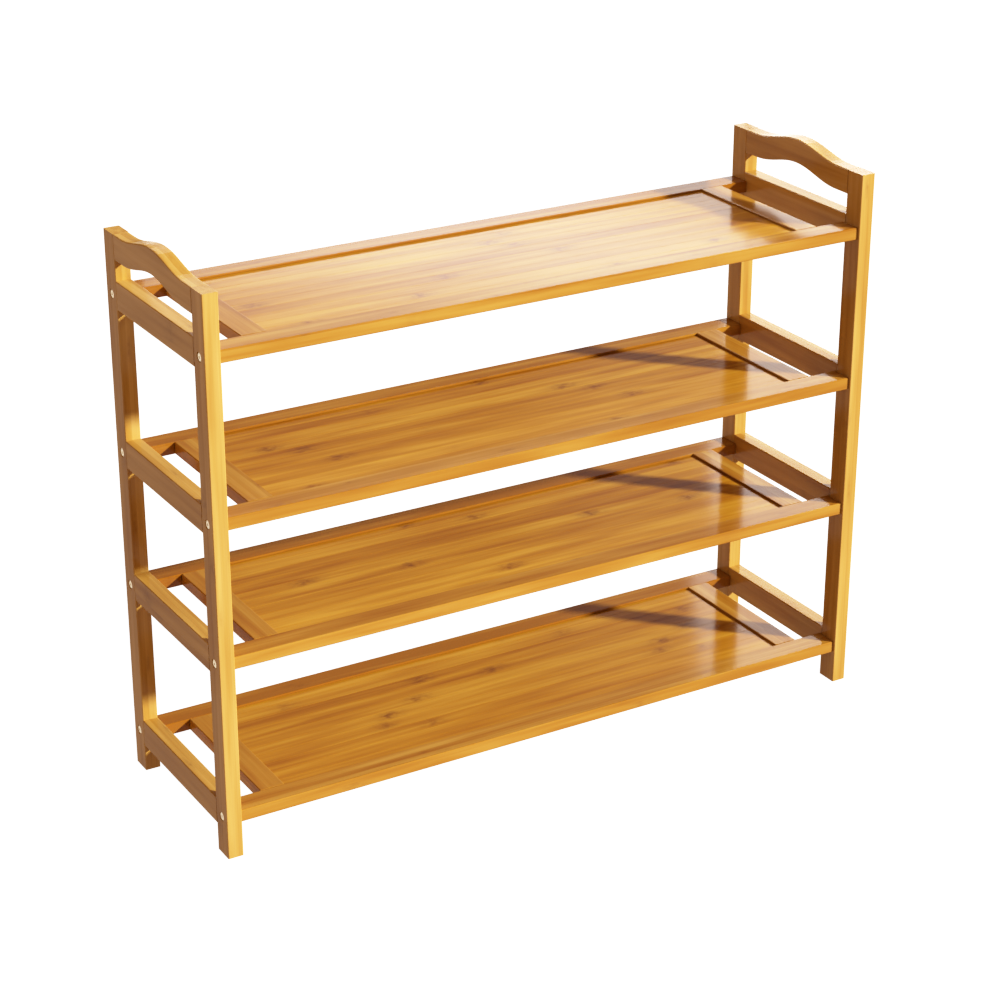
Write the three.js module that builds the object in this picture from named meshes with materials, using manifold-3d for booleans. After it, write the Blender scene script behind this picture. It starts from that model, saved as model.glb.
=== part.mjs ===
// A four-tier bamboo shoe rack. Two end frames of posts, side rails and an arched handle rail carry
// four shelves. Each shelf is a frame of two rails and two cross battens around a laminated panel, and
// connector bolts hold its rails to the posts.
// Millimetres. X runs along the rack, Y from front to back and Z up. The origin is on the floor, in
// the middle of the rack.
import * as THREE from "three";
import { mergeVertices } from "three/addons/utils/BufferGeometryUtils.js";
import Module from "manifold-3d";

// Driving dimensions of the whole rack.
const WIDTH = 880;
const DEPTH = 265;
const POST_HEIGHT = 680;
const SHELF_TOPS = [57, 252, 421, 614];
const GAP = 0.3; // clearance between pieces that touch
const EDGE_ROUND = 1.2; // radius of every long edge
const EDGE_STEPS = 2;

// End frames. Everything in a frame is POST_THICK thick along X.
const POST_THICK = 19;
const POST_DEPTH = 28;
const SIDE_RAIL_HEIGHT = 34;
const SIDE_RAIL_RISE = 11; // how far a side rail stands above its shelf
const TENON_THICK = 8;
const TENON_LENGTH = 9;
const TENON_SHOULDER = 5; // set back above and below a tenon
const TENON_ROOT = 6; // how far a tenon runs back into its own rail

// Handle rail. Its edges are level at the posts and swell upwards in the middle.
const HANDLE_TOP = POST_HEIGHT;
const HANDLE_BOTTOM = POST_HEIGHT - 30;
const HANDLE_CREST = 13;
const HANDLE_TOP_REACH = 85; // half the length of the swell along the upper edge
const HANDLE_BOTTOM_REACH = 80;
const HANDLE_STEPS = 22;

// Shelves.
const SHELF_RECESS = 3; // shelf edge behind the post face
const RAIL_DEPTH = 30;
const RAIL_HEIGHT = 15;
const BATTEN_WIDTH = 31;
const SLOT_WIDTH = 39; // open slot between an end frame and a batten
const PANEL_THICK = 6;
const PANEL_DROP = 2.8; // panel top below the rail tops
const GROOVE_DEPTH = 6;

// Connector bolts.
const HEAD_RADIUS = 5.5;
const HEAD_THICK = 2.4;
const HEAD_EDGE = 0.5;
const SHANK_RADIUS = 3;
const THREAD_RADIUS = 2.5;
const THREAD_LENGTH = 32;
const TIP_LENGTH = 2;
const SOCKET_RADIUS = 2.3;
const SOCKET_DEPTH = 1.8;
const BOLT_SIDES = 12;

// Values that follow from the driving dimensions.
const BAY_WIDTH = WIDTH - 2 * POST_THICK;
const POST_X = (WIDTH - POST_THICK) / 2;
const POST_Y = (DEPTH - POST_DEPTH) / 2;
const FRAME_OPENING = DEPTH - 2 * POST_DEPTH;
const RAIL_Y = DEPTH / 2 - SHELF_RECESS - RAIL_DEPTH / 2;
const SHELF_OPENING = 2 * RAIL_Y - RAIL_DEPTH;
const BATTEN_X = BAY_WIDTH / 2 - SLOT_WIDTH - BATTEN_WIDTH / 2;
const PANEL_OPENING = 2 * BATTEN_X - BATTEN_WIDTH;
const GROOVE_HEIGHT = PANEL_THICK + 2 * GAP;
const PANEL_LEVEL = RAIL_HEIGHT / 2 - PANEL_DROP - PANEL_THICK / 2; // panel centre from the rail centre

const SIDES = { left: -1, right: 1 };
const ENDS = { front: -1, back: 1 };

const FINISHES = {
  post: { color: 0xd9a45a, roughness: 0.42, metalness: 0 },
  rail: { color: 0xc98e48, roughness: 0.4, metalness: 0 },
  panel: { color: 0xc4803a, roughness: 0.35, metalness: 0 },
  bolt: { color: 0xcfc6b8, roughness: 0.32, metalness: 1 },
};

const wasm = await Module();
wasm.setup();

function solidOf(geometry) {
  const bare = geometry.clone();
  bare.deleteAttribute("normal");
  bare.deleteAttribute("uv");
  const merged = mergeVertices(bare, 1e-4);
  return new wasm.Manifold(
    new wasm.Mesh({
      numProp: 3,
      vertProperties: merged.attributes.position.array,
      triVerts: new Uint32Array(merged.index.array),
    }),
  );
}

function geometryOf(solid) {
  const mesh = solid.getMesh();
  const geometry = new THREE.BufferGeometry();
  geometry.setAttribute("position", new THREE.BufferAttribute(mesh.vertProperties, 3));
  geometry.setIndex(new THREE.BufferAttribute(mesh.triVerts, 1));
  const flat = geometry.toNonIndexed();
  flat.computeVertexNormals();
  return flat;
}

// A body joined from some geometries, less others.
function carve(added, removed) {
  let solid = solidOf(added[0]);
  for (const geometry of added.slice(1)) solid = solid.add(solidOf(geometry));
  for (const geometry of removed) solid = solid.subtract(solidOf(geometry));
  return geometryOf(solid);
}

function block(x, y, z, atX = 0, atY = 0, atZ = 0) {
  return new THREE.BoxGeometry(x, y, z).translate(atX, atY, atZ);
}

// A bar with its four long edges rounded, centred on the origin, with its length along Z.
function roundedBar(width, depth, length) {
  const right = width / 2 - EDGE_ROUND;
  const back = depth / 2 - EDGE_ROUND;
  const quarter = Math.PI / 2;
  const outline = new THREE.Shape();
  outline.absarc(right, back, EDGE_ROUND, 0, quarter);
  outline.absarc(-right, back, EDGE_ROUND, quarter, 2 * quarter);
  outline.absarc(-right, -back, EDGE_ROUND, 2 * quarter, 3 * quarter);
  outline.absarc(right, -back, EDGE_ROUND, 3 * quarter, 4 * quarter);
  const settings = { depth: length, bevelEnabled: false, curveSegments: EDGE_STEPS };
  return new THREE.ExtrudeGeometry(outline, settings).translate(0, 0, -length / 2);
}

// The same bar with its length along X, or along Y.
function barAlongX(length, depth, height) {
  return roundedBar(height, depth, length).rotateY(Math.PI / 2);
}

function barAlongY(width, length, height) {
  return roundedBar(width, height, length).rotateX(Math.PI / 2);
}

// A turned body along X. The profile lists [x, radius] pairs, from the left end to the right.
function turned(profile) {
  const points = profile.map(([x, radius]) => new THREE.Vector2(radius, x));
  return new THREE.LatheGeometry(points, BOLT_SIDES).rotateZ(-Math.PI / 2);
}

// Posts. Each is drawn about its own foot centre.
function postGeometry(side, end) {
  const bar = roundedBar(POST_THICK, POST_DEPTH, POST_HEIGHT).translate(0, 0, POST_HEIGHT / 2);
  const mortises = SHELF_TOPS.map((top) => mortise(end, top + SIDE_RAIL_RISE, SIDE_RAIL_HEIGHT));
  mortises.push(mortise(end, HANDLE_TOP, HANDLE_TOP - HANDLE_BOTTOM));
  const holes = SHELF_TOPS.map((top) => boltHole(side).translate(0, 0, top - RAIL_HEIGHT / 2));
  return carve([bar], [...mortises, ...holes]);
}

// The pocket in a post for the tenon of a rail of the given top and height.
function mortise(end, top, height) {
  const depth = TENON_LENGTH + GAP;
  return block(
    TENON_THICK + 2 * GAP,
    2 * depth,
    height - 2 * TENON_SHOULDER + 2 * GAP,
    0,
    (-end * POST_DEPTH) / 2,
    top - height / 2,
  );
}

// The stepped hole for one bolt, through a post from its outer face.
function boltHole(side) {
  const outer = POST_THICK / 2 + 1;
  const seat = POST_THICK / 2 - HEAD_THICK - 2 * GAP;
  const hole = turned([
    [-outer, 0],
    [-outer, SHANK_RADIUS + GAP],
    [seat, SHANK_RADIUS + GAP],
    [seat, HEAD_RADIUS + GAP],
    [outer, HEAD_RADIUS + GAP],
    [outer, 0],
  ]);
  return side > 0 ? hole : hole.rotateZ(Math.PI);
}

function sideRailGeometry() {
  const length = FRAME_OPENING - 2 * GAP;
  const bar = barAlongY(POST_THICK, length, SIDE_RAIL_HEIGHT);
  return carve([bar, ...tenons(SIDE_RAIL_HEIGHT, 0)], []);
}

// The tenons at the two ends of a rail of the given height, whose middle is at the given level.
function tenons(height, level) {
  const length = TENON_LENGTH + TENON_ROOT;
  const centre = FRAME_OPENING / 2 + TENON_LENGTH - length / 2;
  const tall = height - 2 * TENON_SHOULDER;
  return Object.values(ENDS).map((end) => block(TENON_THICK, length, tall, 0, end * centre, level));
}

// A smooth swell of unit height over the middle of an edge, level beyond its reach.
function swell(y, reach) {
  return Math.abs(y) < reach ? (1 + Math.cos((Math.PI * y) / reach)) / 2 : 0;
}

// The handle rail is drawn in place along Y and Z, and centred along X.
function handleRailGeometry() {
  const end = FRAME_OPENING / 2 + EDGE_ROUND;
  const stations = [...Array(HANDLE_STEPS + 1).keys()].map((i) => end * ((2 * i) / HANDLE_STEPS - 1));
  const upper = stations.map((y) => [y, HANDLE_TOP + HANDLE_CREST * swell(y, HANDLE_TOP_REACH)]);
  const lower = stations.map((y) => [y, HANDLE_BOTTOM + HANDLE_CREST * swell(y, HANDLE_BOTTOM_REACH)]);
  const outline = new THREE.Shape(
    [...lower, ...upper.reverse()].map(([y, z]) => new THREE.Vector2(y, z)),
  );
  const arch = new THREE.ExtrudeGeometry(outline, {
    depth: POST_THICK - 2 * EDGE_ROUND,
    bevelThickness: EDGE_ROUND,
    bevelSize: EDGE_ROUND,
    bevelOffset: -EDGE_ROUND,
    bevelSegments: EDGE_STEPS,
  });
  arch.translate(0, 0, EDGE_ROUND - POST_THICK / 2);
  arch.rotateX(Math.PI / 2).rotateZ(Math.PI / 2);
  const square = block(POST_THICK, FRAME_OPENING - 2 * GAP, POST_HEIGHT, 0, 0, POST_HEIGHT);
  const trimmed = geometryOf(solidOf(arch).intersect(solidOf(square)));
  const level = (HANDLE_TOP + HANDLE_BOTTOM) / 2;
  return carve([trimmed, ...tenons(HANDLE_TOP - HANDLE_BOTTOM, level)], []);
}

// A shelf rail with the groove that takes the panel and the battens. The groove faces the shelf.
function shelfRailGeometry(end) {
  const bar = barAlongX(BAY_WIDTH - 2 * GAP, RAIL_DEPTH, RAIL_HEIGHT);
  const length = PANEL_OPENING + 2 * BATTEN_WIDTH + 2 * GAP;
  const groove = block(length, 2 * GROOVE_DEPTH, GROOVE_HEIGHT, 0, (-end * RAIL_DEPTH) / 2, PANEL_LEVEL);
  const inward = end * (POST_Y - RAIL_Y);
  const pilots = Object.values(SIDES).map((side) => pilotHole(side).translate(0, inward, 0));
  return carve([bar], [groove, ...pilots]);
}

// The blind hole in a rail's end grain for the thread of one bolt.
function pilotHole(side) {
  const mouth = BAY_WIDTH / 2 + 1;
  const bottom = BAY_WIDTH / 2 - THREAD_LENGTH - GAP;
  const hole = turned([
    [bottom, 0],
    [bottom, THREAD_RADIUS + GAP],
    [mouth, THREAD_RADIUS + GAP],
    [mouth, 0],
  ]);
  return side > 0 ? hole : hole.rotateZ(Math.PI);
}

// A cross batten with stub tenons in the rail grooves and a groove for the panel's end.
function battenGeometry(side) {
  const bar = barAlongY(BATTEN_WIDTH, SHELF_OPENING - 2 * GAP, RAIL_HEIGHT);
  const reach = SHELF_OPENING + 2 * GROOVE_DEPTH - 2 * GAP;
  const stub = block(BATTEN_WIDTH - 2 * EDGE_ROUND, reach, PANEL_THICK, 0, 0, PANEL_LEVEL);
  const groove = block(2 * GROOVE_DEPTH, DEPTH, GROOVE_HEIGHT, (-side * BATTEN_WIDTH) / 2, 0, PANEL_LEVEL);
  return carve([bar, stub], [groove]);
}

function panelGeometry() {
  const tongue = 2 * (GROOVE_DEPTH - GAP);
  return block(PANEL_OPENING + tongue, SHELF_OPENING + tongue, PANEL_THICK);
}

// A connector bolt, drawn with its head at the right and its head's face at the origin.
function boltGeometry() {
  const thread = -POST_THICK;
  const tip = thread - THREAD_LENGTH + GAP;
  const body = turned([
    [tip, 0],
    [tip, THREAD_RADIUS / 2],
    [tip + TIP_LENGTH, THREAD_RADIUS],
    [thread, THREAD_RADIUS],
    [thread, SHANK_RADIUS],
    [-HEAD_THICK, SHANK_RADIUS],
    [-HEAD_THICK, HEAD_RADIUS],
    [-HEAD_EDGE, HEAD_RADIUS],
    [0, HEAD_RADIUS - HEAD_EDGE],
    [0, 0],
  ]);
  const socket = new THREE.CylinderGeometry(SOCKET_RADIUS, SOCKET_RADIUS, 2 * SOCKET_DEPTH, 6);
  return carve([body], [socket.rotateZ(Math.PI / 2)]);
}

const rack = new THREE.Group();

function place(parent, name, geometry, finish, x, y, z) {
  const mesh = new THREE.Mesh(geometry, new THREE.MeshStandardMaterial(FINISHES[finish]));
  mesh.name = name;
  mesh.position.set(x, y, z);
  parent.add(mesh);
  return mesh;
}

function addEndFrame(sideName) {
  const side = SIDES[sideName];
  const frame = new THREE.Group();
  frame.position.x = side * POST_X;
  for (const [endName, end] of Object.entries(ENDS)) {
    place(frame, `${sideName}_${endName}_post`, postGeometry(side, end), "post", 0, end * POST_Y, 0);
  }
  SHELF_TOPS.forEach((top, i) => {
    const level = top + SIDE_RAIL_RISE - SIDE_RAIL_HEIGHT / 2;
    place(frame, `${sideName}_side_rail_${i + 1}`, sideRailGeometry(), "post", 0, 0, level);
  });
  place(frame, `${sideName}_handle_rail`, handleRailGeometry(), "post", 0, 0, 0);
  rack.add(frame);
}

function addShelf(top, number) {
  const shelf = new THREE.Group();
  const tier = `tier_${number}`;
  shelf.position.z = top - RAIL_HEIGHT / 2;
  for (const [endName, end] of Object.entries(ENDS)) {
    place(shelf, `${tier}_${endName}_rail`, shelfRailGeometry(end), "rail", 0, end * RAIL_Y, 0);
  }
  for (const [sideName, side] of Object.entries(SIDES)) {
    place(shelf, `${tier}_${sideName}_batten`, battenGeometry(side), "rail", side * BATTEN_X, 0, 0);
  }
  place(shelf, `${tier}_panel`, panelGeometry(), "panel", 0, 0, PANEL_LEVEL);
  for (const [sideName, side] of Object.entries(SIDES)) {
    for (const [endName, end] of Object.entries(ENDS)) {
      const name = `${tier}_bolt_${sideName}_${endName}`;
      const bolt = place(shelf, name, boltGeometry(), "bolt", 0, end * POST_Y, 0);
      bolt.position.x = side * (WIDTH / 2 - GAP);
      bolt.rotation.z = side > 0 ? 0 : Math.PI;
    }
  }
  rack.add(shelf);
}

Object.keys(SIDES).forEach(addEndFrame);
SHELF_TOPS.forEach((top, i) => addShelf(top, i + 1));

export default rack;
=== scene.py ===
"""The looks of a four-tier bamboo shoe rack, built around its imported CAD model.

Everything is in metres, in the model's own frame: X along the rack, Y from front to back, Z up. The boards
keep their CAD shape and get lacquered bamboo. The shelf panels and the bolts are rebuilt in finer detail.
"""
import math

import bmesh
import bpy
from mathutils import Matrix, Vector


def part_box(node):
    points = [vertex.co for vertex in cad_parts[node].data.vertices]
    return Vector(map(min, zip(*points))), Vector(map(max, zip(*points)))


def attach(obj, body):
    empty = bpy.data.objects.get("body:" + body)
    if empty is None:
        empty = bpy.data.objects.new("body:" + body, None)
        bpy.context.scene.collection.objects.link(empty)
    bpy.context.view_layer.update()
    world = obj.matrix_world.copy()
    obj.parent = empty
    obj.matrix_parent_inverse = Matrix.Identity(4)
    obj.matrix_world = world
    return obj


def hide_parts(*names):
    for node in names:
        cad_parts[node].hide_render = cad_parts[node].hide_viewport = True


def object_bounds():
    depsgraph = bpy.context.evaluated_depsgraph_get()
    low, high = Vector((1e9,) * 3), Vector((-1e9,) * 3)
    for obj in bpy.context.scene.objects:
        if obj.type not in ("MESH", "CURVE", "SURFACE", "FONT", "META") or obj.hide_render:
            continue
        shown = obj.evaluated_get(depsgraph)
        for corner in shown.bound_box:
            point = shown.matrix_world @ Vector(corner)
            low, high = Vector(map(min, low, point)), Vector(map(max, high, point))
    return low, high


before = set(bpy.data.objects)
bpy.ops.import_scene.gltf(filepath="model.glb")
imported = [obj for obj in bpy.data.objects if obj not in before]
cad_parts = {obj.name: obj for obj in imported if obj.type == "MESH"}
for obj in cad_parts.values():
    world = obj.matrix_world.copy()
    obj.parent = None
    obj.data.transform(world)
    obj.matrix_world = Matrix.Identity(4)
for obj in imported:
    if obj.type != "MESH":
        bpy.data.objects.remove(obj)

CAD_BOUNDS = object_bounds()
MM = 0.001

SIDES = ("left", "right")
ENDS = ("front", "back")
TIERS = (1, 2, 3, 4)

# Camera: where it stands, how far it turns from looking along +Y, and how far it looks down.
CAMERA_PLACE = Vector((-1.436, -2.431, 1.535))
CAMERA_TURN = math.radians(30.4)
CAMERA_DIP = math.radians(23.5)
SENSOR = 36.0
LENS = 92.1

# The key stands low, to the right of the front, so that it reaches under every shelf.
KEY_TURN = math.radians(45)
KEY_HEIGHT = math.radians(23.5)
KEY_SPREAD = math.radians(3)
KEY_POWER = 6.3
KEY_COLOUR = (1.0, 0.94, 0.82)
SKY_COLOUR = (1.0, 0.64, 0.45, 1)
SKY_POWER = 0.47

# Softboxes: centre, width, height, radiance, and whether it shows only in reflections. The back one hangs
# close behind the rack, where the top shelf mirrors it and the lower shelves don't. The crown one shows in
# the handles' tops, the side one at the right end of the shelves, and the haze one faintly in every shelf.
SOFTBOXES = {
    "back": ((0.12, 0.30, 0.73), 0.88, 0.15, 8.8, True),
    "side": ((1.15, 0.60, 0.75), 0.75, 1.1, 7.0, True),
    "haze": ((1.50, 2.50, 1.60), 2.2, 1.6, 1.3, True),
    "crown": ((0.15, 0.30, 0.86), 1.3, 0.12, 3.0, True),
    "top": ((0.95, -1.20, 2.40), 0.9, 0.9, 3.0, False),
}
SOFTBOX_AIM = 0.6
# How bright a graded softbox is from its left end to its right, and how far that slides right towards its
# top.
FADES = {
    "back": (((0.0, 0.22), (0.22, 0.46), (0.39, 0.74), (0.57, 0.95), (0.74, 0.95), (0.90, 0.78),
              (1.0, 0.60)), 0.5),
    "haze": (((0.0, 0.40), (0.24, 0.50), (0.49, 0.45), (0.65, 1.0), (1.0, 1.0)), 0.0),
}
FLOOR_SIDE = 24.0
FLOOR_COLOUR = (0.16, 0.16, 0.16, 1)
FLOOR_GLOW = 1.3
WHITE = (1, 1, 1, 1)

# Film: (scene light, shown light). It deepens the shade and eases the brightest light off towards white.
FILM_WHITE = 1.3
FILM = ((0.0, 0.0), (0.05, 0.036), (0.15, 0.128), (0.30, 0.285), (0.50, 0.50), (0.80, 0.77), (1.0, 0.88),
        (1.3, 1.0))

# Dark, middle and light wood of each kind of board, and where they lie on the scale of wood tones from 0 to 1.
TONES = {
    "post": ((0.42, 0.230, 0.045, 1), (0.53, 0.335, 0.085, 1), (0.63, 0.43, 0.140, 1)),
    "rail": ((0.315, 0.137, 0.016, 1), (0.405, 0.210, 0.032, 1), (0.495, 0.297, 0.063, 1)),
    "panel": ((0.32, 0.132, 0.009, 1), (0.44, 0.220, 0.019, 1), (0.56, 0.328, 0.042, 1)),
}
TONE_STOPS = (0.12, 0.50, 0.88)
# Painted shade: how far the back rails are darkened on the scale of wood tones, for the shade at the back of
# the shelves.
BACK_RAIL_PAINTED_SHADE = -0.30

# What moves a point along the scale of wood tones: its strip, and noise at three scales.
TONE_BASE = -0.705
STRIP_SHARE = 0.36
STREAK_SHARE = 0.85
FIBRE_SHARE = 0.20
BAND_SHARE = 1.00

# Noise drawn out along the grain: cells per metre along it, cells per metre across it, detail, roughness.
FIBRE = (9.0, 900.0, 3.0, 0.6)
STREAK = (6.5, 115.0, 2.0, 0.5)
BAND = (4.0, 48.0, 2.0, 0.5)
FRAY = (20.0, 520.0, 2.0, 0.6)
BLOTCH = (110.0, 170.0, 2.0, 0.6)

# Knuckles: a bowed dark line across a strip, with a stain beside it.
KNUCKLES = {"post": 0.45, "rail": 0.5, "panel": 1.0}
KNUCKLE = (0.17, 0.055, 0.010, 1)
KNUCKLE_SPACING = 400 * MM
KNUCKLE_BOW = 20 * MM
KNUCKLE_FRAY = 22 * MM
CORE_WIDTH = 4 * MM
CORE_SHARE = 0.24
STAIN_WIDTH = 18 * MM
STAIN_OFFSET = 3 * MM
STAIN_LEAST = 0.20
STAIN_BLOTCH = 0.42
STAIN_SPAN = (0.36, 0.62)
STRIP_EDGE_FADE = 3.6
STRIPS_WITH_KNUCKLES = (0.15, 0.65)

# Glue lines, and the cut ends of the fibre bundles on faces that look along the grain.
GLUE_WIDTH = 0.35 * MM
GLUE_SHARE = 0.10
END_GRAIN = (0.34, 0.17, 0.045, 1)
END_FACING = (0.75, 0.92)
BUNDLES_PER_METRE = 900.0
BUNDLE_SPAN = (0.10, 0.50)

# Relief of the wood under the lacquer: what fibres, knuckles and glue lines add to its height.
FIBRE_RELIEF = 0.6
KNUCKLE_RELIEF = 0.8
GLUE_RELIEF = -2.0
WOOD_BUMP = (0.03 * MM, 0.5)
WOOD_ROUGHNESS = 0.30
FIBRE_ROUGHNESS = 0.16
END_ROUGHNESS = 0.2

# Lacquer. COAT is how much gloss it gives each kind of board, and its waves are long along the grain.
COAT = {"post": 0.25, "rail": 0.25, "panel": 0.27}
COAT_ROUGHNESS = 0.14
COAT_IOR = 1.5
LACQUER_WAVES = 22.0
LACQUER_STRETCH = 0.35
LACQUER_BUMP = (0.6 * MM, 0.25)

# Strips: their width across the board, and the thickness of its layers.
POST_STRIPS = (6 * MM, 30 * MM)
SIDE_RAIL_STRIPS = (6 * MM, 40 * MM)
HANDLE_STRIPS = (6 * MM, 50 * MM)
RAIL_STRIPS = (7.5 * MM, 17 * MM)
BATTEN_STRIPS = (7.75 * MM, 17 * MM)
PANEL_STRIPS = 10
PANEL_LAYER = 1.0
JOINT_WIDTH = 0.5 * MM
JOINT_DEPTH = 0.12 * MM
# How far the pattern moves from one board, or one panel, to the next, and how fast the strips' random numbers
# change with that.
BOARD_SHIFT = 0.137
PANEL_SHIFT = 0.31
CHANCE_SHIFT = 7.3

# Boards: how close two corners are when they are one, and how round the cut ends are.
WELD_REACH = 0.01 * MM
BEVEL_WIDTH = 0.35 * MM
BEVEL_STEPS = 2
BEVEL_ANGLE = math.radians(50)

# The bolt in millimetres, from the socket's rim to its tip: (distance in from the head's face, radius).
HEAD_PROFILE = ((0.0, 2.0), (0.05, 3.0), (0.18, 4.0), (0.38, 4.75), (0.7, 5.3), (1.1, 5.5), (2.4, 5.5),
                (2.4, 3.0), (19.0, 3.0), (19.0, 2.5), (48.7, 2.5), (50.7, 1.25))
BOLT_SIDES = 48
SOCKET_RIM = 1.7
SOCKET_MOUTH = 0.15
SOCKET_FLOOR = 0.6
BOLT_SHARP_ANGLE = math.radians(40)
ZINC_DARK = (0.66, 0.54, 0.36, 1)
ZINC_LIGHT = (0.80, 0.70, 0.52, 1)
ZINC_STOPS = (0.3, 0.7)
ZINC_GRAINS = 900.0
ZINC_METALLIC = 0.75
ZINC_ROUGHNESS = 0.36
GRIME_ROUGHNESS = 0.2
ZINC_BUMP = (0.02 * MM, 0.4)


# ---------------------------------------------------------------- shader helpers
class Tree:
    """A short way to write a node tree: each method adds one node and returns its output."""

    def __init__(self, tree):
        self.tree = tree

    def node(self, kind, settings=None, **inputs):
        made = self.tree.nodes.new(kind)
        for name, value in (settings or {}).items():
            setattr(made, name, value)
        for name, value in inputs.items():
            self.feed(made.inputs[name.replace("_", " ")], value)
        return made

    def feed(self, socket, value):
        if isinstance(value, bpy.types.NodeSocket):
            self.tree.links.new(value, socket)
        else:
            socket.default_value = value

    def maths(self, operation, *values):
        made = self.tree.nodes.new("ShaderNodeMath")
        made.operation = operation
        for socket, value in zip(made.inputs, values):
            self.feed(socket, value)
        return made.outputs[0]

    def join(self, x, y, z):
        return self.node("ShaderNodeCombineXYZ", X=x, Y=y, Z=z).outputs[0]

    def noise(self, vector, scale, detail, roughness):
        made = self.node("ShaderNodeTexNoise", Vector=vector, Scale=scale, Detail=detail, Roughness=roughness)
        return made.outputs[0]

    def random(self, vector):
        return self.node("ShaderNodeTexWhiteNoise", {"noise_dimensions": "3D"}, Vector=vector).outputs

    def mix(self, share, a, b):
        made = self.tree.nodes.new("ShaderNodeMix")
        made.data_type = "RGBA"
        for socket, value in zip((made.inputs[0], made.inputs[6], made.inputs[7]), (share, a, b)):
            self.feed(socket, value)
        return made.outputs[2]

    def ramp(self, value, stops):
        made = self.node("ShaderNodeValToRGB", Fac=value)
        band = made.color_ramp
        while len(band.elements) < len(stops):
            band.elements.new(0.5)
        for element, (place, colour) in zip(band.elements, stops):
            element.position = place
            element.color = colour
        return made.outputs[0]

    def span(self, value, low, high):
        """0 at low, 1 at high, level outside."""
        made = self.node("ShaderNodeMapRange", Value=value)
        made.inputs["From Min"].default_value = low
        made.inputs["From Max"].default_value = high
        return made.outputs[0]

    def bump(self, height, distance, strength):
        return self.node("ShaderNodeBump", Height=height, Distance=distance, Strength=strength).outputs[0]


def bell(t, value, width):
    """1 where value is 0, falling away smoothly over width."""
    ratio = t.maths("DIVIDE", value, width)
    return t.maths("EXPONENT", t.maths("MULTIPLY", t.maths("MULTIPLY", ratio, ratio), -1.0))


def new_material(name):
    material = bpy.data.materials.new(name)
    material.use_nodes = True
    material.node_tree.nodes.clear()
    return material, Tree(material.node_tree)


# ---------------------------------------------------------------- bamboo
GRAIN_ORDER = {"X": ("X", "Y", "Z"), "Y": ("Y", "X", "Z"), "Z": ("Z", "X", "Y")}


def grain_noise(t, place, pattern):
    along, across, through = place
    per_length, per_width, detail, roughness = pattern
    vector = t.join(t.maths("MULTIPLY", along, per_length), t.maths("MULTIPLY", across, per_width),
                    t.maths("MULTIPLY", through, per_width))
    return t.noise(vector, 1.0, detail, roughness)


def strip_chances(t, strips, through, layer, shift):
    """Random numbers that are the same all over one strip."""
    layers = t.maths("DIVIDE", through, layer)
    cell = t.join(t.maths("FLOOR", strips), t.maths("FLOOR", layers), round(shift * CHANCE_SHIFT, 3))
    return t.random(cell)


def wood_colour(t, kind, place, strip_tone, fibre, painted_shade):
    streak = grain_noise(t, place, STREAK)
    band = grain_noise(t, place, BAND)
    value = t.maths("MULTIPLY_ADD", strip_tone, STRIP_SHARE, painted_shade + TONE_BASE)
    value = t.maths("MULTIPLY_ADD", streak, STREAK_SHARE, value)
    value = t.maths("MULTIPLY_ADD", fibre, FIBRE_SHARE, value)
    value = t.maths("MULTIPLY_ADD", band, BAND_SHARE, value)
    return t.ramp(value, list(zip(TONE_STOPS, TONES[kind])))


def knuckle_marks(t, kind, place, middle, lots):
    """Returns how strong the dark line is alone, and how strong with the stain beside it."""
    turn = t.maths("ADD", t.maths("DIVIDE", place[0], KNUCKLE_SPACING), lots["Green"])
    off_centre = t.maths("SUBTRACT", t.maths("FRACT", turn), 0.5)
    middle_squared = t.maths("MULTIPLY", middle, middle)
    bow = t.maths("MULTIPLY", middle_squared, KNUCKLE_BOW)
    wander = t.maths("MULTIPLY", t.maths("SUBTRACT", grain_noise(t, place, FRAY), 0.5), KNUCKLE_FRAY)
    reach = t.maths("MULTIPLY_ADD", off_centre, KNUCKLE_SPACING, t.maths("ADD", bow, wander))
    core = bell(t, reach, CORE_WIDTH)
    stain = bell(t, t.maths("SUBTRACT", reach, STAIN_OFFSET), STAIN_WIDTH)
    blotch = t.span(grain_noise(t, place, BLOTCH), *STAIN_SPAN)
    patchy = t.maths("MULTIPLY_ADD", blotch, STAIN_BLOTCH, STAIN_LEAST)
    heart = t.maths("SUBTRACT", 1.0, t.maths("MULTIPLY", middle_squared, STRIP_EDGE_FADE))
    mark = t.maths("MULTIPLY_ADD", core, CORE_SHARE, t.maths("MULTIPLY", stain, patchy))
    marked = t.span(lots["Blue"], *STRIPS_WITH_KNUCKLES)
    mark = t.maths("MULTIPLY", t.maths("MULTIPLY", mark, heart), marked)
    return core, t.maths("MULTIPLY", mark, KNUCKLES[kind])


def glue_lines(t, middle, strip):
    edge = t.maths("MULTIPLY", t.maths("SUBTRACT", 0.5, t.maths("ABSOLUTE", middle)), strip)
    return t.maths("MULTIPLY", bell(t, edge, GLUE_WIDTH), GLUE_SHARE)


def end_grain(t, point, grain, colour):
    """Returns where end grain shows, and the colour with it laid on."""
    normal = t.node("ShaderNodeNewGeometry").outputs["Normal"]
    facing = t.node("ShaderNodeSeparateXYZ", Vector=normal).outputs[grain]
    end = t.span(t.maths("ABSOLUTE", facing), *END_FACING)
    bundles = t.node("ShaderNodeTexVoronoi", Vector=point, Scale=BUNDLES_PER_METRE).outputs["Distance"]
    end_colour = t.mix(t.span(bundles, *BUNDLE_SPAN), END_GRAIN, colour)
    return end, t.mix(end, colour, end_colour)


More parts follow.
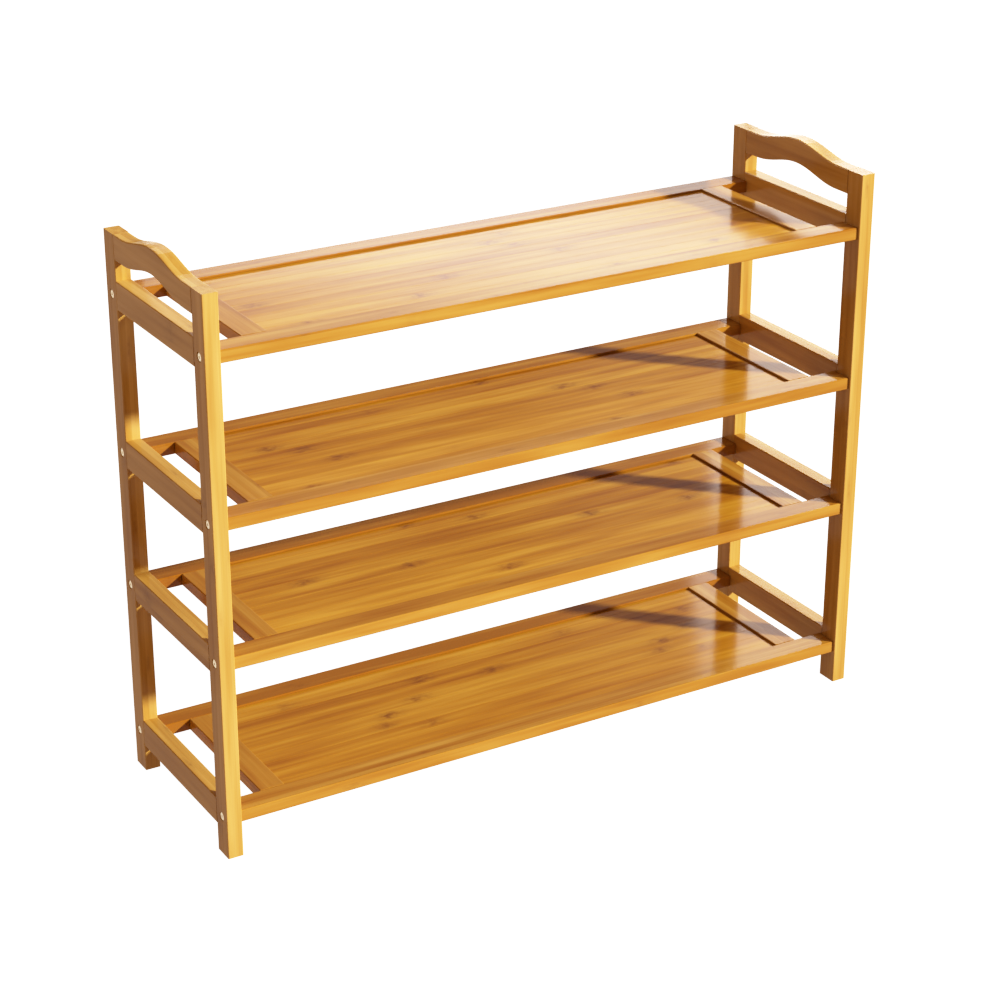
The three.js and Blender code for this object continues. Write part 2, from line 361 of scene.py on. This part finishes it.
def bamboo(name, kind, grain, strip, layer, shift, painted_shade=0.0):
    """Lacquered laminated bamboo. strip and layer are a strip's width across and through the board, shift
    moves the pattern so that no two boards match, and the last argument makes the whole board lighter or
    darker; the back rails get it as painted shade, darkened for the shade at the back of the shelves."""
    material, t = new_material(name)
    point = t.node("ShaderNodeTexCoord").outputs["Object"]
    parts = t.node("ShaderNodeSeparateXYZ", Vector=point).outputs
    along, across, through = (parts[letter] for letter in GRAIN_ORDER[grain])
    along = t.maths("ADD", along, shift)
    place = (along, across, through)
    strips = t.maths("DIVIDE", across, strip)
    middle = t.maths("SUBTRACT", t.maths("FRACT", strips), 0.5)
    chance = strip_chances(t, strips, through, layer, shift)
    lots = t.node("ShaderNodeSeparateColor", Color=chance["Color"]).outputs

    fibre = grain_noise(t, place, FIBRE)
    core, knuckle = knuckle_marks(t, kind, place, middle, lots)
    glue = glue_lines(t, middle, strip)
    colour = wood_colour(t, kind, place, chance["Value"], fibre, painted_shade)
    colour = t.mix(knuckle, colour, KNUCKLE)
    colour = t.mix(glue, colour, KNUCKLE)
    end, colour = end_grain(t, point, grain, colour)

    height = t.maths("MULTIPLY_ADD", fibre, FIBRE_RELIEF, t.maths("MULTIPLY", glue, GLUE_RELIEF))
    height = t.maths("MULTIPLY_ADD", core, KNUCKLE_RELIEF, height)
    wood_bump = t.bump(height, *WOOD_BUMP)
    polish_place = t.join(t.maths("MULTIPLY", along, LACQUER_STRETCH), across, through)
    polish = t.noise(polish_place, LACQUER_WAVES, 1.0, 0.5)
    roughness = t.maths("MULTIPLY_ADD", end, END_ROUGHNESS, WOOD_ROUGHNESS)
    roughness = t.maths("MULTIPLY_ADD", fibre, FIBRE_ROUGHNESS, roughness)

    shader = t.node("ShaderNodeBsdfPrincipled", Base_Color=colour, Roughness=roughness, Normal=wood_bump)
    shader.inputs["Specular IOR Level"].default_value = 0.0
    shader.inputs["Coat Weight"].default_value = COAT[kind]
    shader.inputs["Coat Roughness"].default_value = COAT_ROUGHNESS
    shader.inputs["Coat IOR"].default_value = COAT_IOR
    t.feed(shader.inputs["Coat Normal"], t.bump(polish, *LACQUER_BUMP))
    t.node("ShaderNodeOutputMaterial", Surface=shader.outputs[0])
    return material


def steel(name):
    """Yellow zinc plate, dull and a little uneven."""
    material, t = new_material(name)
    point = t.node("ShaderNodeTexCoord").outputs["Object"]
    grime = t.noise(point, ZINC_GRAINS, 2.0, 0.6)
    colour = t.ramp(grime, list(zip(ZINC_STOPS, (ZINC_DARK, ZINC_LIGHT))))
    roughness = t.maths("MULTIPLY_ADD", grime, GRIME_ROUGHNESS, ZINC_ROUGHNESS)
    bump = t.bump(grime, *ZINC_BUMP)
    shader = t.node("ShaderNodeBsdfPrincipled", Base_Color=colour, Roughness=roughness, Normal=bump)
    shader.inputs["Metallic"].default_value = ZINC_METALLIC
    t.node("ShaderNodeOutputMaterial", Surface=shader.outputs[0])
    return material


# ---------------------------------------------------------------- boards
def soften(piece):
    """Welds a CAD board's facets and rounds its cut ends a little, without touching its mesh."""
    weld = piece.modifiers.new("weld", "WELD")
    weld.merge_threshold = WELD_REACH
    bevel = piece.modifiers.new("bevel", "BEVEL")
    bevel.width = BEVEL_WIDTH
    bevel.segments = BEVEL_STEPS
    bevel.limit_method = "ANGLE"
    bevel.angle_limit = BEVEL_ANGLE
    bevel.harden_normals = True


def finish_board(name, kind, grain, strips, number, painted_shade=0.0):
    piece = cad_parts[name]
    material = bamboo(f"bamboo_{name}", kind, grain, *strips, BOARD_SHIFT * number, painted_shade)
    for place in piece.material_slots:
        place.material = material
    soften(piece)


def finish_boards():
    number = 0
    for side in SIDES:
        for end in ENDS:
            number += 1
            finish_board(f"{side}_{end}_post", "post", "Z", POST_STRIPS, number)
        for tier in TIERS:
            number += 1
            finish_board(f"{side}_side_rail_{tier}", "post", "Y", SIDE_RAIL_STRIPS, number)
        number += 1
        finish_board(f"{side}_handle_rail", "post", "Y", HANDLE_STRIPS, number)
    for tier in TIERS:
        for end in ENDS:
            number += 1
            # Painted shade: each back rail is darkened as a whole, for the shade at the back of the shelves.
            painted_shade = BACK_RAIL_PAINTED_SHADE if end == "back" else 0.0
            finish_board(f"tier_{tier}_{end}_rail", "rail", "X", RAIL_STRIPS, number, painted_shade)
        for side in SIDES:
            number += 1
            finish_board(f"tier_{tier}_{side}_batten", "rail", "Y", BATTEN_STRIPS, number)


# ---------------------------------------------------------------- panels
def panel_outline(low, high):
    """The panel's section across its strips, with a hairline joint between neighbours, as (y, z) pairs."""
    strip = (high.y - low.y) / PANEL_STRIPS
    above = [(low.y, high.z)]
    for i in range(1, PANEL_STRIPS):
        joint = low.y + i * strip
        above.append((joint - JOINT_WIDTH / 2, high.z))
        above.append((joint, high.z - JOINT_DEPTH))
        above.append((joint + JOINT_WIDTH / 2, high.z))
    above.append((high.y, high.z))
    below = [(y, low.z + high.z - z) for y, z in reversed(above)]
    return above + below


def panel_mesh(low, high):
    outline = panel_outline(low, high)
    mesh = bmesh.new()
    rings = [[mesh.verts.new((x, y, z)) for y, z in outline] for x in (low.x, high.x)]
    skin(mesh, *rings)
    mesh.faces.new(list(reversed(rings[0])))
    mesh.faces.new(rings[1])
    return finish_mesh(mesh, "panel")


def add_panel(tier):
    node = f"tier_{tier}_panel"
    low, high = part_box(node)
    piece = bpy.data.objects.new(f"{node}_strips", panel_mesh(low, high))
    bpy.context.scene.collection.objects.link(piece)
    strip = (high.y - low.y) / PANEL_STRIPS
    piece.data.materials.append(bamboo(f"bamboo_{node}", "panel", "X", strip, PANEL_LAYER, PANEL_SHIFT * tier))
    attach(piece, "root")
    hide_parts(node)


# ---------------------------------------------------------------- mesh helpers
def ring(mesh, x, radius):
    angles = [math.tau * i / BOLT_SIDES for i in range(BOLT_SIDES)]
    return [mesh.verts.new((x, radius * math.cos(a), radius * math.sin(a))) for a in angles]


def skin(mesh, first, second):
    """Joins two rings of corners with four-sided faces."""
    sides = len(first)
    for i in range(sides):
        j = (i + 1) % sides
        mesh.faces.new((first[i], first[j], second[j], second[i]))


def finish_mesh(mesh, name):
    bmesh.ops.recalc_face_normals(mesh, faces=mesh.faces)
    data = bpy.data.meshes.new(name)
    mesh.to_mesh(data)
    mesh.free()
    return data


# ---------------------------------------------------------------- bolts
def hexagon(radius):
    """A hexagon with one corner for each corner of a bolt ring, as (y, z) pairs."""
    sixth = math.tau / 6
    corners = []
    for i in range(BOLT_SIDES):
        angle = math.tau * i / BOLT_SIDES
        reach = radius * math.cos(sixth / 2) / math.cos(angle % sixth - sixth / 2)
        corners.append((reach * math.cos(angle), reach * math.sin(angle)))
    return corners


def bolt_mesh(face, inward, centre_y, centre_z):
    """A furniture bolt with a domed head and a hexagon socket. Its face is at x = face, and inward is 1 or -1,
    the way its shank runs."""
    mesh = bmesh.new()
    rings = [ring(mesh, inward * depth * MM, radius * MM) for depth, radius in HEAD_PROFILE]
    for first, second in zip(rings, rings[1:]):
        skin(mesh, first, second)
    mesh.faces.new(rings[-1])
    socket = hexagon(SOCKET_RIM * MM)
    rim = [mesh.verts.new((inward * SOCKET_MOUTH * MM, y, z)) for y, z in socket]
    floor = [mesh.verts.new((inward * SOCKET_FLOOR * MM, y, z)) for y, z in socket]
    skin(mesh, rings[0], rim)
    skin(mesh, rim, floor)
    mesh.faces.new(floor)
    bmesh.ops.transform(mesh, matrix=Matrix.Translation((face, centre_y, centre_z)), verts=mesh.verts)
    return finish_mesh(mesh, "bolt")


def add_bolt(node, side, material):
    low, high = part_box(node)
    face = low.x if side == "left" else high.x
    inward = 1 if side == "left" else -1
    data = bolt_mesh(face, inward, (low.y + high.y) / 2, (low.z + high.z) / 2)
    piece = bpy.data.objects.new(f"{node}_turned", data)
    bpy.context.scene.collection.objects.link(piece)
    data.shade_smooth()
    data.set_sharp_from_angle(angle=BOLT_SHARP_ANGLE)
    data.materials.append(material)
    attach(piece, "root")
    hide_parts(node)


def add_bolts():
    zinc = steel("yellow_zinc")
    for tier in TIERS:
        for side in SIDES:
            for end in ENDS:
                add_bolt(f"tier_{tier}_bolt_{side}_{end}", side, zinc)


# ---------------------------------------------------------------- stage
def add_camera():
    data = bpy.data.cameras.new("camera")
    data.lens = LENS
    data.sensor_width = SENSOR
    camera = bpy.data.objects.new("camera", data)
    camera.location = CAMERA_PLACE
    camera.rotation_euler = (math.pi / 2 - CAMERA_DIP, 0, -CAMERA_TURN)
    bpy.context.scene.collection.objects.link(camera)
    bpy.context.scene.camera = camera


def add_key():
    """A low sun that lights the wood but leaves no glare in the lacquer."""
    data = bpy.data.lights.new("key", "SUN")
    data.energy = KEY_POWER
    data.angle = KEY_SPREAD
    data.color = KEY_COLOUR
    key = bpy.data.objects.new("key", data)
    key.rotation_euler = (math.pi / 2 - KEY_HEIGHT, 0, KEY_TURN)
    key.visible_glossy = False
    bpy.context.scene.collection.objects.link(key)


def add_softbox(name, centre, width, height, radiance, only_mirrored):
    """A rectangular lamp that faces the middle of the rack."""
    data = bpy.data.lights.new(name, "AREA")
    data.shape = "RECTANGLE"
    data.size = width
    data.size_y = height
    data.energy = radiance * math.pi * width * height
    lamp = bpy.data.objects.new(name, data)
    lamp.location = centre
    aim = Vector((centre[0], 0, SOFTBOX_AIM)) - Vector(centre)
    lamp.rotation_euler = aim.to_track_quat("-Z", "Y").to_euler()
    lamp.visible_camera = False
    lamp.visible_diffuse = not only_mirrored
    bpy.context.scene.collection.objects.link(lamp)


def fade_softbox(name, stops, slide):
    data = bpy.data.lights[name]
    data.use_nodes = True
    t = Tree(data.node_tree)
    spot = t.node("ShaderNodeNewGeometry").outputs["Parametric"]
    parts = t.node("ShaderNodeSeparateXYZ", Vector=spot).outputs
    from_left = t.maths("SUBTRACT", 1.0, parts["X"])
    slid = t.maths("MULTIPLY", t.maths("SUBTRACT", parts["Y"], 0.5), -slide)
    greys = [(place, (level, level, level, 1)) for place, level in stops]
    share = t.ramp(t.maths("ADD", from_left, slid), greys)
    t.feed(data.node_tree.nodes["Emission"].inputs["Strength"], share)


def add_sky():
    """Warm light from all round. The camera itself sees a white background, level with the floor."""
    world = bpy.data.worlds.new("studio")
    bpy.context.scene.world = world
    world.use_nodes = True
    t = Tree(world.node_tree)
    warm = world.node_tree.nodes["Background"]
    t.feed(warm.inputs["Color"], SKY_COLOUR)
    t.feed(warm.inputs["Strength"], SKY_POWER)
    plain = t.node("ShaderNodeBackground", Color=WHITE, Strength=FLOOR_GLOW)
    seen = t.node("ShaderNodeLightPath").outputs["Is Camera Ray"]
    both = t.node("ShaderNodeMixShader", Fac=seen)
    t.feed(both.inputs[1], warm.outputs[0])
    t.feed(both.inputs[2], plain.outputs[0])
    t.feed(world.node_tree.nodes["World Output"].inputs["Surface"], both.outputs[0])


def add_floor():
    """A pale glowing floor. It shows to the camera and in the lacquer, and sends no light into the shade."""
    mesh = bmesh.new()
    bmesh.ops.create_grid(mesh, x_segments=1, y_segments=1, size=FLOOR_SIDE / 2)
    data = bpy.data.meshes.new("floor")
    mesh.to_mesh(data)
    mesh.free()
    floor = bpy.data.objects.new("floor", data)
    floor.location.z = CAD_BOUNDS[0][2]
    bpy.context.scene.collection.objects.link(floor)
    material = bpy.data.materials.new("pale_floor")
    material.use_nodes = True
    shader = material.node_tree.nodes["Principled BSDF"]
    shader.inputs["Base Color"].default_value = FLOOR_COLOUR
    shader.inputs["Roughness"].default_value = 1.0
    shader.inputs["Specular IOR Level"].default_value = 0.0
    shader.inputs["Emission Color"].default_value = WHITE
    shader.inputs["Emission Strength"].default_value = FLOOR_GLOW
    data.materials.append(material)
    floor.visible_diffuse = False


def set_film():
    view = bpy.context.scene.view_settings
    view.view_transform = "Standard"
    view.use_curve_mapping = True
    mapping = view.curve_mapping
    mapping.white_level = (FILM_WHITE,) * 3
    curve = mapping.curves[3]
    curve.points[0].location = FILM[0]
    curve.points[1].location = (1, 1)
    for scene_light, shown_light in FILM[1:-1]:
        curve.points.new(scene_light / FILM_WHITE, shown_light)
    mapping.update()


set_film()
add_camera()
add_key()
add_sky()
for name, settings in SOFTBOXES.items():
    add_softbox(name, *settings)
for name, settings in FADES.items():
    fade_softbox(name, *settings)
add_floor()
finish_boards()
for tier in TIERS:
    add_panel(tier)
add_bolts()
